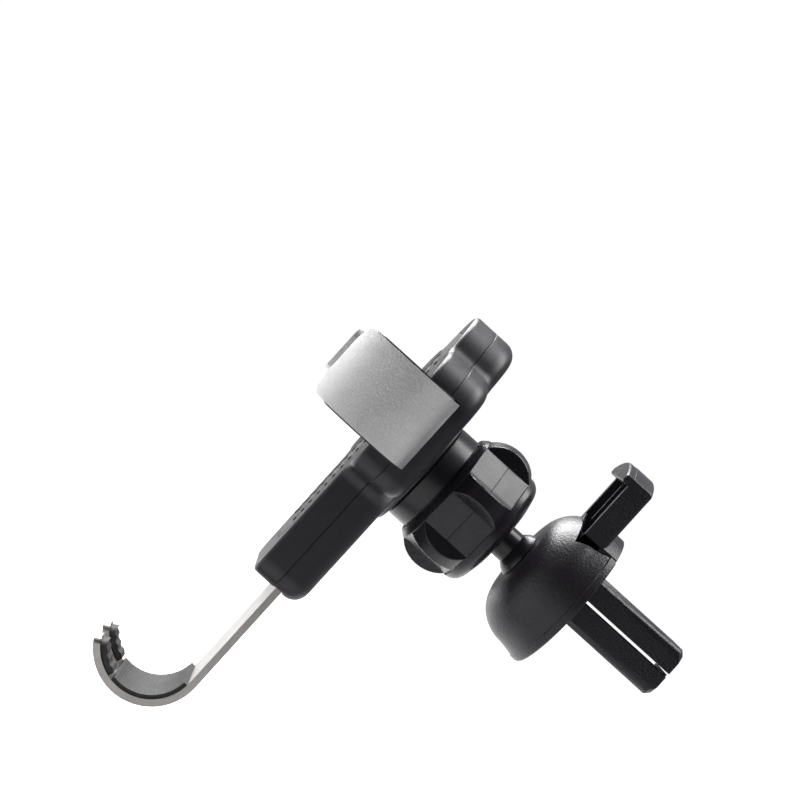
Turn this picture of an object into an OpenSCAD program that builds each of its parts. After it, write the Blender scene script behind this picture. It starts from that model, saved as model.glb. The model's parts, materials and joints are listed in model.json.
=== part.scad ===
// Gravity car phone mount with an air-vent clip.
// Stations run along +Y from the cradle's front face, heights from the ball's axis.

/* [Cradle] */
// Depth of the cradle from its front face to its back
cradle_depth = 11; // [10.5:0.1:12]
// Station of the line where the two shells meet
shell_split = 5.2; // [5:0.1:5.6]
// Wall thickness of the shells
wall = 1.5; // [1.2:0.1:1.7]
// Half width of the upper bar
upper_half_w = 11; // [10.5:0.1:12]
// Half width of the shoulders that carry the arms
shoulder_half_w = 23.5; // [23.4:0.1:24]
// Half width of the lower bar
lower_half_w = 15; // [14.5:0.1:16]
// Height of the cradle's top above the ball's axis
cradle_top = 28.5; // [27:0.1:30]
// Depth of the cradle's bottom below the ball's axis
cradle_bottom = 35; // [34.5:0.1:37]

/* [Arms and foot] */
// Thickness of the aluminium plates
plate_t = 1.4; // [1.2:0.1:1.5]
// Width of an arm
arm_w = 15.4; // [15:0.1:15.6]
// Outside radius of the arms' and the foot's curve
hook_r = 11; // [10.8:0.1:11.2]
// Width of the phone between the arms
phone_w = 75.7; // [75:0.1:77]
// Half width of the foot's strip
foot_half_w = 12.5; // [12:0.1:12.6]
// Width of one finger of the foot
finger_w = 7.5; // [6:0.1:8]
// Height of the foot's curve centre below the ball's axis
foot_drop = 58.6; // [56:0.1:62]

/* [Ball joint] */
// Radius of the ball
ball_r = 8.5; // [8.4:0.05:8.5]
// Radius of the ball's stem
stem_r = 3.35; // [3:0.05:3.4]
// Crest radius of the locking ring's wings
wing_r = 15; // [14.5:0.1:15.5]
// Distance from the ring's axis to its flats
ring_flat = 12; // [11.9:0.1:12.4]

/* [Vent clip] */
// Radius of the dome's rim
rim_r = 15.6; // [15.4:0.1:16]
// Length of the jaws behind the dome
jaw_len = 22.5; // [20:0.1:24]
// Half width of the jaws
jaw_half_w = 6.25; // [6:0.05:6.4]
// Gap between the closed jaws
slot_gap = 0.8; // [0.6:0.1:1]
// Half width of the lever
lever_half_w = 10; // [9.5:0.1:10.2]
// Height of the lever's top above the ball's axis
lever_top = 27.6; // [26:0.1:29]

/* [Hidden] */
$fn = 64;

black = [0.13, 0.12, 0.14];
rubber = [0.2, 0.2, 0.21];
silver = [0.82, 0.83, 0.84];
steel = [0.6, 0.61, 0.63];
nylon = [0.75, 0.74, 0.7];

// Stations of the clip and the origin, which is the middle of the fixed jaw's face
rim_back = 50.3;
dome_front = 37.3;
origin_y = rim_back + jaw_len / 2;
slot_z = 2;
origin_z = slot_z - slot_gap / 2;
grip_z = origin_z;
disc_front = 48.4;

// Shoulders and arms
shoulder_low = -8;
shoulder_high = 20;
shoulder_r = 9;
arm_z = 5.8;
plate_back = 7.1;
plate_front = plate_back - plate_t;
curve_y = plate_back - hook_r;
pad_t = 1;
pad_r = hook_r - plate_t - 0.02;
arm_centre = phone_w / 2 - (pad_r - pad_t);
arm_inner_end = 11.5;
tip_angle = 78;
slot_play = 0.3;

// Gear train: one pinion between the arms' racks and the foot's rack
tooth_module = 1;
teeth = 14;
pitch_r = tooth_module * teeth / 2;
tooth_pitch = PI * tooth_module;
backlash = 0.28;
rack_back = 3;
foot_layer = [2, 4.6];
arm_layer = [plate_back + 0.1, 9.2];
axle_r = 2;

// Ball joint
ball_y = 24.2;
seat_t = 0.6;
seat_play = 0.05;
seat_r = ball_r + seat_play + seat_t;
thread_r = 10.3;
neck_r = 10.65;
neck_front = 12.4;
ring_front = 16.8;
ring_back = 31.8;
ring_mid = 24;
ring_open_r = 7.4;

// Crank of the moving jaw
pivot_y = 44.8;
pivot_z = 9;
pin_r = 1;
pin_half = 11.3;
lever_front = 42.2;
lever_back = 47.2;
cut_half_w = lever_half_w + 0.5;
hub_half_w = 8.6;

module placed() translate([0, -origin_y, -origin_z]) children();
// Extrudes an outline drawn in X and Z between two stations
module slab(y0, y1) translate([0, y1, 0]) rotate([90, 0, 0]) linear_extrude(y1 - y0) children();
// Turns a profile of radius and station about the ball's axis
module lathe() rotate([-90, 0, 0]) rotate_extrude($fn = 96) children();
module rod(y0, y1, r) translate([0, y0, 0]) rotate([-90, 0, 0]) cylinder(h = y1 - y0, r = r);
module cross_rod(x0, x1, r) translate([x0, 0, 0]) rotate([0, 90, 0]) cylinder(h = x1 - x0, r = r);
module block(x0, x1, y0, y1, z0, z1) translate([x0, y0, z0]) cube([x1 - x0, y1 - y0, z1 - z0]);
module rounded_rect(x0, x1, z0, z1, r) {
    translate([x0 + r, z0]) square([x1 - x0 - 2 * r, z1 - z0]);
    translate([x0, z0 + r]) square([x1 - x0, z1 - z0 - 2 * r]);
    for (x = [x0 + r, x1 - r], z = [z0 + r, z1 - r]) translate([x, z]) circle(r);
}
module both_sides() {
    children();
    mirror([1, 0, 0]) children();
}
module screw(head_y, length, r, head_r, direction) {
    head_h = 1.2;
    translate([0, head_y, 0]) rotate([-90 * direction, 0, 0]) {
        difference() {
            cylinder(h = head_h, r = head_r);
            translate([-head_r, -0.3, -0.1]) cube([2 * head_r, 0.6, 0.6]);
            translate([-0.3, -head_r, -0.1]) cube([0.6, 2 * head_r, 0.6]);
        }
        translate([0, 0, head_h]) cylinder(h = length - head_h, r = r);
    }
}
// Sweeps a round wire along a path that stays square to the reference direction
module wire(path, r, ref) {
    sides = 8;
    last = len(path) - 1;
    points = [for (i = [0:last])
        let (a = path[max(i - 1, 0)], b = path[min(i + 1, last)])
        let (along = (b - a) / norm(b - a), side = cross(along, ref))
        let (u = side / norm(side), v = cross(along, u))
        for (k = [0:sides - 1]) path[i] + r * (u * cos(360 * k / sides) + v * sin(360 * k / sides))];
    walls = [for (i = [0:last - 1], k = [0:sides - 1], half = [0, 1])
        let (n = (k + 1) % sides, here = i * sides, next = here + sides)
        half == 0 ? [here + k, next + k, next + n] : [here + k, next + n, here + n]];
    cap_a = [for (k = [0:sides - 1]) k];
    cap_b = [for (k = [sides - 1:-1:0]) last * sides + k];
    polyhedron(points, concat([cap_a], walls, [cap_b]));
}

// Cradle outline seen from the front, drawn a wall's thickness smaller with inset
module cradle_outline(inset) {
    bar_w = upper_half_w - inset;
    translate([0, cradle_top - upper_half_w]) circle(bar_w);
    translate([-bar_w, 0]) square([2 * bar_w, cradle_top - upper_half_w]);
    shoulder_w = shoulder_half_w - inset;
    rounded_rect(-shoulder_w, shoulder_w, shoulder_low + inset, shoulder_high - inset - 8, 4 - inset);
    rounded_rect(-shoulder_w, shoulder_w, shoulder_low + inset + 2, shoulder_high - inset, shoulder_r - inset);
    rounded_rect(-lower_half_w + inset, lower_half_w - inset, -cradle_bottom + inset, 0, 4 - inset);
}
// Openings for the arms at the sides and for the foot's strip at the bottom
module plate_slots() {
    slot_front = plate_front - slot_play;
    slot_back = plate_back + slot_play;
    arm_z0 = arm_z - arm_w / 2 - slot_play;
    both_sides() block(shoulder_half_w - 4, shoulder_half_w + 1, slot_front, slot_back, arm_z0,
        arm_z0 + arm_w + 2 * slot_play);
    block(-foot_half_w - slot_play, foot_half_w + slot_play, slot_front, slot_back,
        -cradle_bottom - 1, -cradle_bottom + 4);
}
// The four case screws stand clear of the arms' slots and of the racks' travel
module at_case_screws() {
    for (x = [-6.2, 6.2]) translate([x, 0, 22]) children();
    for (side = [-1, 1]) translate([18.4 * side, 0, arm_z - 10.6 * side]) children();
}
module front_shell() color(black) placed() difference() {
    union() {
        difference() {
            slab(0, shell_split) cradle_outline(0);
            slab(wall, shell_split + 1) cradle_outline(wall);
        }
        at_case_screws() rod(0.5, shell_split, 1.9);
    }
    plate_slots();
    at_case_screws() rod(-1, shell_split + 1, 0.85);
    slab(-1, 0.5) rounded_rect(-9, 9, -28, 24, 4);
    translate([0, 0, arm_z]) rod(-1, 1.9, axle_r);
}
module rear_shell() color(black) placed() difference() {
    union() {
        difference() {
            slab(shell_split, cradle_depth) cradle_outline(0);
            slab(shell_split - 1, cradle_depth - wall) cradle_outline(wall);
        }
        rod(cradle_depth - wall, neck_front - 0.3, 12.7);
        at_case_screws() rod(shell_split, cradle_depth - 0.5, 1.9);
        translate([0, 0, arm_z]) rod(arm_layer[1] + 0.1, cradle_depth, 3);
    }
    plate_slots();
    at_case_screws() rod(shell_split - 1, cradle_depth - 2.2, 0.85);
    translate([0, 0, arm_z]) rod(8, 10.6, axle_r);
    for (x = [-neck_screw_x, neck_screw_x]) translate([x, 0, 0]) {
        rod(cradle_depth - wall - 1, neck_head_back, 1.7);
        rod(cradle_depth - wall, neck_front + 1, 0.8);
    }
}
module back_pad() color(rubber) placed() slab(-0.05, 0.5) rounded_rect(-9, 9, -28, 24, 4);
module case_screws() color(steel) placed() at_case_screws() rod(0.6, cradle_depth - 2.5, 0.85);

// Involute tooth flanks for the pinion
function involute(base, t) = [base * (cos(t) + t * PI / 180 * sin(t)),
    base * (sin(t) - t * PI / 180 * cos(t))];
function turned(p, a) = [p[0] * cos(a) - p[1] * sin(a), p[0] * sin(a) + p[1] * cos(a)];
module gear_outline() {
    pressure = 20;
    base = pitch_r * cos(pressure);
    outer = pitch_r + 0.7;
    root = pitch_r - 1.05;
    roll = sqrt(pow(outer / base, 2) - 1) * 180 / PI;
    half_tooth = 90 / teeth - backlash / 4 / pitch_r * 180 / PI;
    lead = half_tooth + tan(pressure) * 180 / PI - pressure;
    flank = [for (i = [0:3]) turned(involute(base, roll * i / 3), -lead)];
    mirrored = [for (i = [3:-1:0]) [flank[i][0], -flank[i][1]]];
    foot_point = turned([root - 0.5, 0], -lead);
    foot_pair = [foot_point[0], -foot_point[1]];
    circle(root);
    for (k = [0:teeth - 1]) rotate(90 + 360 * k / teeth)
        polygon(concat([foot_point], flank, mirrored, [foot_pair]));
}
module pinion() color(nylon) placed() translate([0, 0, arm_z]) difference() {
    union() {
        slab(foot_layer[0], foot_layer[1] + 0.2) gear_outline();
        rod(foot_layer[1], arm_layer[0] + 0.2, 4.6);
        slab(arm_layer[0] + 0.1, arm_layer[1]) gear_outline();
    }
    rod(0, 12, axle_r + 0.05);
}
module pinion_axle() color(steel) placed() translate([0, 0, arm_z]) rod(1.2, 10.6, axle_r);

// A rack along X with its pitch line at height 0, its teeth pointing down
module rack_outline(x0, x1, first) {
    half = tooth_pitch / 4 - backlash / 4;
    slope = tan(20);
    translate([x0, 1]) square([x1 - x0, rack_back - 1]);
    for (k = [first:1:floor((x1 - 1) / tooth_pitch)])
        let (x = k * tooth_pitch)
        polygon([[x - half + slope * 0.7, -0.7], [x + half - slope * 0.7, -0.7],
            [x + half + slope, 1], [x + half, 1.5], [x - half, 1.5], [x - half - slope, 1]]);
}
// Arm slider: a block behind the plate and a rack that reaches over the pinion
arm_screw_x = 15.2;
arm_screw_zs = [-2.5, 2.5];
module arm_slider() {
    rack_in = -9.5;
    block_in = 13.5;
    block_out = 16.8;
    rack_top = pitch_r + rack_back;
    difference() {
        union() {
            slab(arm_layer[0] + 0.1, arm_layer[1]) polygon([[block_in, -4.4], [block_out, -4.4],
                [block_out, rack_top - 3.6], [block_out - 2, rack_top], [block_in, rack_top]]);
            translate([tooth_pitch / 2, 0, pitch_r]) slab(arm_layer[0] + 0.1, arm_layer[1])
                rack_outline(rack_in - tooth_pitch / 2, block_in + 0.5 - tooth_pitch / 2, -3);
        }
        for (z = arm_screw_zs) translate([arm_screw_x, 0, z]) rod(5, 10, 0.6);
    }
}
module right_rack() color(nylon) placed() translate([0, 0, arm_z]) arm_slider();
module left_rack() color(nylon) placed() translate([0, 0, arm_z]) rotate([0, 180, 0]) arm_slider();

// Points round a curve's centre, angle 0 at the plate's back and growing round the phone
arm_step = 6;
foot_step = 5;
function curve_points(r, from_angle, to_angle, step) =
    [for (a = [from_angle:step:to_angle]) [r * sin(a), r * cos(a)]];
function backwards(list) = [for (i = [len(list) - 1:-1:0]) list[i]];
function band(r_out, t, from_angle, to_angle, step) = concat(curve_points(r_out, from_angle, to_angle, step),
    backwards(curve_points(r_out - t, from_angle, to_angle, step)));
// A plate that runs straight for a length, then curves
function hooked_band(straight, to_angle, step) = concat([[-straight, hook_r]],
    band(hook_r, plate_t, 0, to_angle, step), [[-straight, hook_r - plate_t]]);

// One arm: straight inside the cradle, then a round C about the phone's edge
module arm_part(outline, w) translate([arm_centre, curve_y, arm_z - w / 2])
    linear_extrude(w) polygon(outline);
module arm_plate() difference() {
    arm_part(hooked_band(arm_centre - arm_inner_end, 90 + tip_angle, arm_step), arm_w);
    for (z = arm_screw_zs) translate([arm_screw_x, 0, arm_z + z]) rod(5, 8, 0.6);
}
module arm_lining() arm_part(band(pad_r, pad_t, 12, 78 + tip_angle, arm_step), arm_w + 0.6);
module arm_fixings() for (z = arm_screw_zs) translate([arm_screw_x, 0, arm_z + z]) {
    rod(plate_front - 0.6, plate_front, 1.2);
    rod(plate_front - 0.6, 9, 0.6);
}
module right_arm() color(silver) placed() arm_plate();
module left_arm() color(silver) placed() mirror([1, 0, 0]) arm_plate();
module right_arm_pad() color(rubber) placed() arm_lining();
module left_arm_pad() color(rubber) placed() mirror([1, 0, 0]) arm_lining();
module right_arm_screws() color(steel) placed() arm_fixings();
module left_arm_screws() color(steel) placed() mirror([1, 0, 0]) arm_fixings();

// Foot: a strip that hangs from the carriage and curves under the phone
foot_top = -10.5;
finger_from = 100;
foot_tip = 150;
// An outline in Y and Z about the foot's curve centre, drawn between two places along X
module foot_part(outline, x0, x1) translate([x0, curve_y, -foot_drop]) rotate([90, 0, 90])
    linear_extrude(x1 - x0) polygon([for (p = outline) [p[1], -p[0]]]);
module foot_bracket() color(silver) placed() difference() {
    foot_part(hooked_band(foot_top + foot_drop, foot_tip, foot_step), -foot_half_w, foot_half_w);
    foot_part(band(hook_r + 1, plate_t + 2, finger_from, foot_tip + foot_step, foot_step),
        finger_w - foot_half_w, foot_half_w - finger_w);
    for (x = [-5, 5]) translate([x, 0, -15]) rod(5, 8, 0.8);
}
module finger_pad() foot_part(band(pad_r, pad_t + 0.3, finger_from + foot_step, foot_tip - foot_step,
    foot_step), foot_half_w - finger_w + 0.2, foot_half_w - 0.2);
module right_finger_pad() color(rubber) placed() finger_pad();
module left_finger_pad() color(rubber) placed() mirror([1, 0, 0]) finger_pad();
module hook_pad() color(rubber) placed() foot_part(band(pad_r, pad_t, foot_step, finger_from, foot_step),
    -foot_half_w + 0.2, foot_half_w - 0.2);
module foot_rack() color(nylon) placed() difference() {
    union() {
        block(-foot_half_w + 1.5, foot_half_w - 1.5, foot_layer[0], plate_front, -22, foot_top);
        translate([0, 0, arm_z]) slab(foot_layer[0], foot_layer[1])
            translate([-pitch_r, 0]) rotate(90) rack_outline(foot_top - arm_z - 1, 7.2, -3);
    }
    for (x = [-5, 5]) translate([x, 0, -15]) rod(1, 8, 0.75);
    translate([0, 3.6, -23]) cylinder(h = 5, r = 1.9);
}
module foot_screws() color(steel) placed() for (x = [-5, 5]) translate([x, 0, -15])
    translate([0, 7.9, 0]) rotate([90, 0, 0]) {
        cylinder(h = 0.75, r = 1.4);
        cylinder(h = 5.5, r = 0.75);
    }
module return_spring() color(steel) placed() {
    turns = 7;
    steps = 10 * turns;
    low = -33.1;
    high = -18.5;
    wire([for (i = [0:steps]) let (a = 36 * i)
        [1.35 * cos(a), 3.6 + 1.35 * sin(a), low + (high - low) * i / steps]], 0.35, [0, 0, 1]);
}

// Neck with the front half of the ball's seat. Its screws' heads sink into the rear shell's wall
neck_screw_x = 7.6;
neck_head_back = 10.75;
module socket_neck() color(black) placed() difference() {
    lathe() difference() {
        polygon([[0, neck_front], [neck_r, neck_front], [neck_r, ring_front - 0.1],
            [thread_r, ring_front - 0.1], [thread_r, ball_y], [0, ball_y]]);
        translate([0, ball_y]) circle(seat_r + seat_play);
    }
    for (x = [-neck_screw_x, neck_screw_x]) translate([x, 0, 0]) rod(neck_front - 1, neck_front + 3, 0.75);
}
module neck_screws() color(steel) placed() for (x = [-neck_screw_x, neck_screw_x]) translate([x, 0, 0])
    screw(neck_head_back - 1.2, 5.5, 0.75, 1.6, 1);
// A shell of the ball's seat between two angles from the ring's axis
module seat(from_angle, to_angle) placed() translate([0, ball_y, 0]) lathe() difference() {
    circle(seat_r);
    circle(ball_r + seat_play);
    rest = 360 - to_angle + from_angle;
    polygon(concat([[0, 0]], [for (i = [0:8]) let (a = to_angle + rest * i / 8) 20 * [sin(a), cos(a)]]));
}
module ball_cup() color(nylon) seat(106, 150);
module ball_washer() color(rubber) seat(55, 84);
module ball_stud() color(black) placed() difference() {
    union() {
        translate([0, ball_y, 0]) lathe() intersection() {
            circle(ball_r);
            translate([0, -20]) square([20, 40]);
        }
        lathe() polygon([[0, ball_y], [stem_r, ball_y], [stem_r, 34.9], [4.9, 37], [4.9, dome_front],
            [3.2, dome_front], [3.2, 41.5], [0, 41.5]]);
    }
    rod(35.5, 42, 1);
}

// Locking ring: six flats with a wing at each corner between them
module locking_ring() color(black) placed() difference() {
    union() {
        lathe() polygon([[0, ring_front], [11.3, ring_front], [12.3, ring_front + 1.4],
            [12.3, 29], [11.6, 30.8], [10, ring_back], [0, ring_back]]);
        intersection() {
            rod(ring_front + 1, 29.5, wing_r + 1);
            slab(ring_front, ring_back) rotate(15) for (k = [0:5]) rotate(60 * k)
                polygon([[0, -2.6], [ring_flat, -2.6], [wing_r, -1.35], [wing_r, 1.35],
                    [ring_flat, 2.6], [0, 2.6]]);
            lathe() translate([wing_r - 6.45, ring_mid]) circle(6.45);
        }
    }
    rod(ring_front - 1, ball_y + 0.4, thread_r + 0.05);
    translate([0, ball_y, 0]) lathe() intersection() {
        circle(seat_r + seat_play);
        translate([0, 0]) square([20, 20]);
    }
    lathe() polygon([[0, ball_y], [ring_open_r - 0.6, ball_y], [ring_open_r, ball_y + 5.4],
        [8.1, ring_back + 0.1], [0, ring_back + 0.1]]);
}

// Dome profile: radius against station, drawn thinner by inset
module dome_profile(inset) {
    shoulder = [for (a = [0:15:90]) [7.6 + (7.4 - inset) * sin(a), dome_front + inset + 8 * (1 - cos(a))]];
    polygon(concat([[0, dome_front + inset]], shoulder, [[rim_r - inset, rim_back - 1.5],
        [rim_r - inset, rim_back - 0.6], [rim_r - 0.3 - inset, rim_back], [0, rim_back]]));
}
clip_screw_x = 9.4;
clip_screw_z = -6.2;
module at_clip_screws() for (x = [-clip_screw_x, clip_screw_x]) translate([x, 0, clip_screw_z]) children();
module clip_housing() color(black) placed() difference() {
    union() {
        difference() {
            lathe() dome_profile(0);
            lathe() intersection() {
                dome_profile(1.7);
                square([20, rim_back]);
            }
            rod(disc_front, rim_back + 1, rim_r - 1.65);
        }
        rod(dome_front + 0.5, 42.6, 5);
        intersection() {
            at_clip_screws() rod(dome_front, disc_front, 2.2);
            lathe() dome_profile(0);
        }
        intersection() {
            lathe() dome_profile(0.1);
            for (x = [-12.4, cut_half_w]) block(x, x + 1.9, 42, 47.6, 5, 12);
        }
    }
    block(-cut_half_w, cut_half_w, 40.8, rim_back + 1, 8.4, 20);
    rod(dome_front - 1, 41.6, 3.2);
    rod(41, 43, 1);
    at_clip_screws() rod(43, 50, 0.85);
    translate([0, pivot_y, pivot_z]) cross_rod(-pin_half, pin_half, pin_r);
}
module fixed_jaw() color(black) placed() difference() {
    union() {
        rod(disc_front, rim_back, rim_r - 1.8);
        block(-jaw_half_w, jaw_half_w, disc_front, rim_back + jaw_len - 1.6, grip_z - 5.2, grip_z);
        block(-jaw_half_w, jaw_half_w, disc_front, rim_back + jaw_len, grip_z - 3.6, grip_z);
    }
    block(-jaw_half_w - 0.4, jaw_half_w + 0.4, disc_front - 1, rim_back + 1, grip_z, 20);
    block(-cut_half_w - 0.1, cut_half_w + 0.1, disc_front - 1, rim_back + 1, 7.9, 20);
    jaw_edges(grip_z - 5.2, -1);
    block(-4.6, 4.6, rim_back + 1, rim_back + jaw_len - 1.5, grip_z - 0.8, grip_z + 1);
    at_clip_screws() rod(disc_front - 1, rim_back + 1, 1.1);
    at_clip_screws() rod(rim_back - 1.25, rim_back + 1, 2);
}
// Prisms that take the long outer edges off a jaw
module jaw_edges(z, side) both_sides() translate([jaw_half_w, rim_back, z]) rotate([0, 45, 0])
    translate([-0.8, 0, -0.8]) cube([1.6, jaw_len + 1, 1.6]);
module fixed_jaw_liner() color(rubber) placed()
    block(-4.6, 4.6, rim_back + 1, rim_back + jaw_len - 1.5, grip_z - 0.8, grip_z);
module moving_jaw_liner() color(rubber) placed() translate([0, 0, slot_gap])
    block(-4.6, 4.6, rim_back + 1, rim_back + jaw_len - 1.5, grip_z, grip_z + 0.8);
upper_z = grip_z + slot_gap;
module moving_jaw() color(black) placed() difference() {
    union() {
        block(-jaw_half_w, jaw_half_w, 43, rim_back + jaw_len - 1.6, upper_z, upper_z + 5.2);
        block(-jaw_half_w, jaw_half_w, 43, rim_back + jaw_len, upper_z, upper_z + 3.6);
        intersection() {
            union() {
                block(-hub_half_w, hub_half_w, lever_front, 47.4, 6, 12.5);
                block(-lever_half_w, lever_half_w, lever_back - 1, rim_back - 0.1, 8.8, 17);
                block(-jaw_half_w, jaw_half_w, 46, rim_back - 0.1, 7, 10);
            }
            rod(40, 52, rim_r - 0.1);
        }
        intersection() {
            union() {
                block(-lever_half_w, lever_half_w, lever_front, lever_back, 9.3, lever_top);
                block(-lever_half_w, lever_half_w, lever_front - 1.6, lever_back, lever_top - 3.9, lever_top);
            }
            translate([0, 0, lever_top - 22.9]) rod(35, 50, 22.9);
        }
    }
    block(-8.4, 8.4, lever_front - 1, lever_back - 1.6, 12.6, lever_top - 5.2);
    block(-3.6, 3.6, lever_front - 1, lever_back + 0.3, 6, 14);
    jaw_edges(upper_z + 5.2, 1);
    block(-4.6, 4.6, rim_back + 1, rim_back + jaw_len - 1.5, upper_z - 1, upper_z + 0.8);
    translate([0, pivot_y, pivot_z]) cross_rod(-20, 20, pin_r + 0.05);
}
module pivot_pin() color(steel) placed() translate([0, pivot_y, pivot_z]) cross_rod(-pin_half, pin_half, pin_r);
module torsion_spring() color(steel) placed() {
    coil_r = 1.9;
    steps = 48;
    start = 200;
    swept = 360 * 4 - 189.5;
    helix = [for (i = [0:steps]) let (a = start + swept * i / steps)
        [3 - 6 * i / steps, pivot_y + coil_r * cos(a), pivot_z + coil_r * sin(a)]];
    wire(concat([[3, 40.7, 14.5]], helix, [[-3, 43.6, 17]]), 0.4, [1, 0, 0]);
}
module stud_screw() color(steel) placed() screw(43.9, 8, 1, 1.9, -1);
module clip_screws() color(steel) placed() at_clip_screws() screw(rim_back, 5.5, 0.85, 1.8, -1);

front_shell();
rear_shell();
back_pad();
case_screws();
pinion();
pinion_axle();
return_spring();
socket_neck();
neck_screws();
left_arm();
right_arm();
left_arm_pad();
right_arm_pad();
left_rack();
right_rack();
left_arm_screws();
right_arm_screws();
foot_bracket();
left_finger_pad();
right_finger_pad();
hook_pad();
foot_rack();
foot_screws();
ball_stud();
ball_cup();
ball_washer();
locking_ring();
clip_housing();
fixed_jaw();
moving_jaw();
fixed_jaw_liner();
moving_jaw_liner();
pivot_pin();
torsion_spring();
stud_screw();
clip_screws();
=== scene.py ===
"""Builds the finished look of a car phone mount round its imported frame."""
import json
import math

import bmesh
import bpy
from mathutils import Matrix, Vector


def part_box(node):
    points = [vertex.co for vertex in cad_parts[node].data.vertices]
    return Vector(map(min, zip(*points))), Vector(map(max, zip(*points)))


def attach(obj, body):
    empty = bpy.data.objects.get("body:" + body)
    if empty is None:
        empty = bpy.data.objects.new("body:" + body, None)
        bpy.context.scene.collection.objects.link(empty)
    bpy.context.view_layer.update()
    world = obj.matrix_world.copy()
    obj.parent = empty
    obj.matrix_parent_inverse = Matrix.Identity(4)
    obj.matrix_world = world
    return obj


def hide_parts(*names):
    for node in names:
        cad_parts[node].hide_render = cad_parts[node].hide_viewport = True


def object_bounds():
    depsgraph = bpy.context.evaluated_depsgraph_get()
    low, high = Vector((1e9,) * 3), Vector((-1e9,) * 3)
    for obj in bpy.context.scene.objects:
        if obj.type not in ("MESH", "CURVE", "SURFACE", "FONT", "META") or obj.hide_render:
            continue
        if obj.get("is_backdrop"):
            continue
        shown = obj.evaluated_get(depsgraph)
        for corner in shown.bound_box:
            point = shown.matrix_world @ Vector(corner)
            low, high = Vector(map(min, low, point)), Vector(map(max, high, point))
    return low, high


bl_info = {
    "name": "Car phone mount",
    "version": (1, 0, 0),
    "blender": (4, 5, 0),
    "location": "3D View > Sidebar > Phone mount",
    "description": "Builds the pieces of a gravity phone mount with a vent clip",
    "category": "Object",
}

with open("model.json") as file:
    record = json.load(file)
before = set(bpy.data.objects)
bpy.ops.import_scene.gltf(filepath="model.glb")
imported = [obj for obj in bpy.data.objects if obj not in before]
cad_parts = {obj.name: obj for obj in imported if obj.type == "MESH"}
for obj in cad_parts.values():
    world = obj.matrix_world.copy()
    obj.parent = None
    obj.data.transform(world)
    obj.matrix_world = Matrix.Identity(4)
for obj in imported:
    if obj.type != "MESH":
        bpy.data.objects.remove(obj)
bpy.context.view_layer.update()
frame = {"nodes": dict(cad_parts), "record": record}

MM = 0.001
LOW, HIGH = 0, 1
X, Y, Z = 0, 1, 2


def cad(node, corner, axis):
    """One coordinate of a CAD node's box, in millimetres."""
    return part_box(node)[corner][axis] / MM


# Stations along Y and heights along Z in millimetres, from the frame.
CASE_FRONT = cad("front_shell", LOW, Y)
CASE_SPLIT = cad("rear_shell", LOW, Y)
CASE_TOP = cad("front_shell", HIGH, Z)
CASE_BOTTOM = cad("front_shell", LOW, Z)
AXIS_Z = (cad("socket_neck", LOW, Z) + cad("socket_neck", HIGH, Z)) / 2
NECK_FRONT = cad("socket_neck", LOW, Y)
NECK_R = cad("socket_neck", HIGH, X)
RING_FRONT = cad("locking_ring", LOW, Y)
RING_BACK = cad("locking_ring", HIGH, Y)
BALL_R = cad("ball_stud", HIGH, X)
BALL_Y = cad("ball_stud", LOW, Y) + BALL_R
DOME_FRONT = cad("clip_housing", LOW, Y)
RIM_BACK = cad("clip_housing", HIGH, Y)
RIM_R = cad("clip_housing", HIGH, X)
JAW_BACK = cad("fixed_jaw", HIGH, Y)
LEVER_TOP = cad("moving_jaw", HIGH, Z)
LEVER_LIP = cad("moving_jaw", LOW, Y)
LEVER_HALF = cad("moving_jaw", HIGH, X)
JAW_HALF = cad("fixed_jaw_liner", HIGH, X) + 1.65
GRIP_Z = cad("fixed_jaw_liner", HIGH, Z)
GRIP_TOP = cad("moving_jaw_liner", LOW, Z)
ARM_OUT = cad("right_arm", HIGH, X)
ARM_LOW = cad("right_arm", LOW, Z)
ARM_HIGH = cad("right_arm", HIGH, Z)
ARM_IN = cad("right_arm", LOW, X)
PLATE_BACK = cad("right_arm", HIGH, Y)
FOOT_HALF = cad("foot_bracket", HIGH, X)
FOOT_TOP = cad("foot_bracket", HIGH, Z)
FOOT_BOTTOM = cad("foot_bracket", LOW, Z)
PLATE_T = 1.4
HOOK_R = 11.0
CURVE_Y = PLATE_BACK - HOOK_R
ARM_CENTRE = ARM_OUT - HOOK_R
FOOT_CENTRE_Z = FOOT_BOTTOM + HOOK_R
PIVOT_Y = cad("pivot_pin", LOW, Y) + 1


# ---------------------------------------------------------------- mesh helpers

def arc(cx, cy, r, start, end, steps, tall=None):
    """Points on a circle, or on an ellipse with its own height, between two angles in degrees."""
    tall = r if tall is None else tall
    turns = [math.radians(start + (end - start) * i / steps) for i in range(steps + 1)]
    return [(cx + r * math.cos(a), cy + tall * math.sin(a)) for a in turns]

def rounded(corners, steps=8):
    """An outline whose corners (x, y, radius) are rounded, inward and outward ones alike."""
    points = []
    count = len(corners)
    for i, (x, y, r) in enumerate(corners):
        here = Vector((x, y))
        before = (Vector(corners[i - 1][:2]) - here).normalized()
        after = (Vector(corners[(i + 1) % count][:2]) - here).normalized()
        if r <= 0:
            points.append((x, y))
            continue
        half = before.angle(after) / 2
        reach = r / math.tan(half)
        middle = here + (before + after).normalized() * r / math.sin(half)
        first = here + before * reach - middle
        last = here + after * reach - middle
        sweep = first.angle_signed(last)
        start = math.atan2(first.y, first.x)
        for k in range(steps + 1):
            a = start - sweep * k / steps
            points.append((middle.x + r * math.cos(a), middle.y + r * math.sin(a)))
    return points


def mirrored(right_side):
    """Corners of a whole outline from those of its right side, top to bottom."""
    return right_side + [(-x, y, r) for x, y, r in reversed(right_side)]


def add_face(bm, points, place):
    """A face through 2D points, each put in space by place(a, b)."""
    verts = [bm.verts.new(Vector(place(a, b)) * MM) for a, b in points]
    return bm.faces.new(verts)


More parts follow.
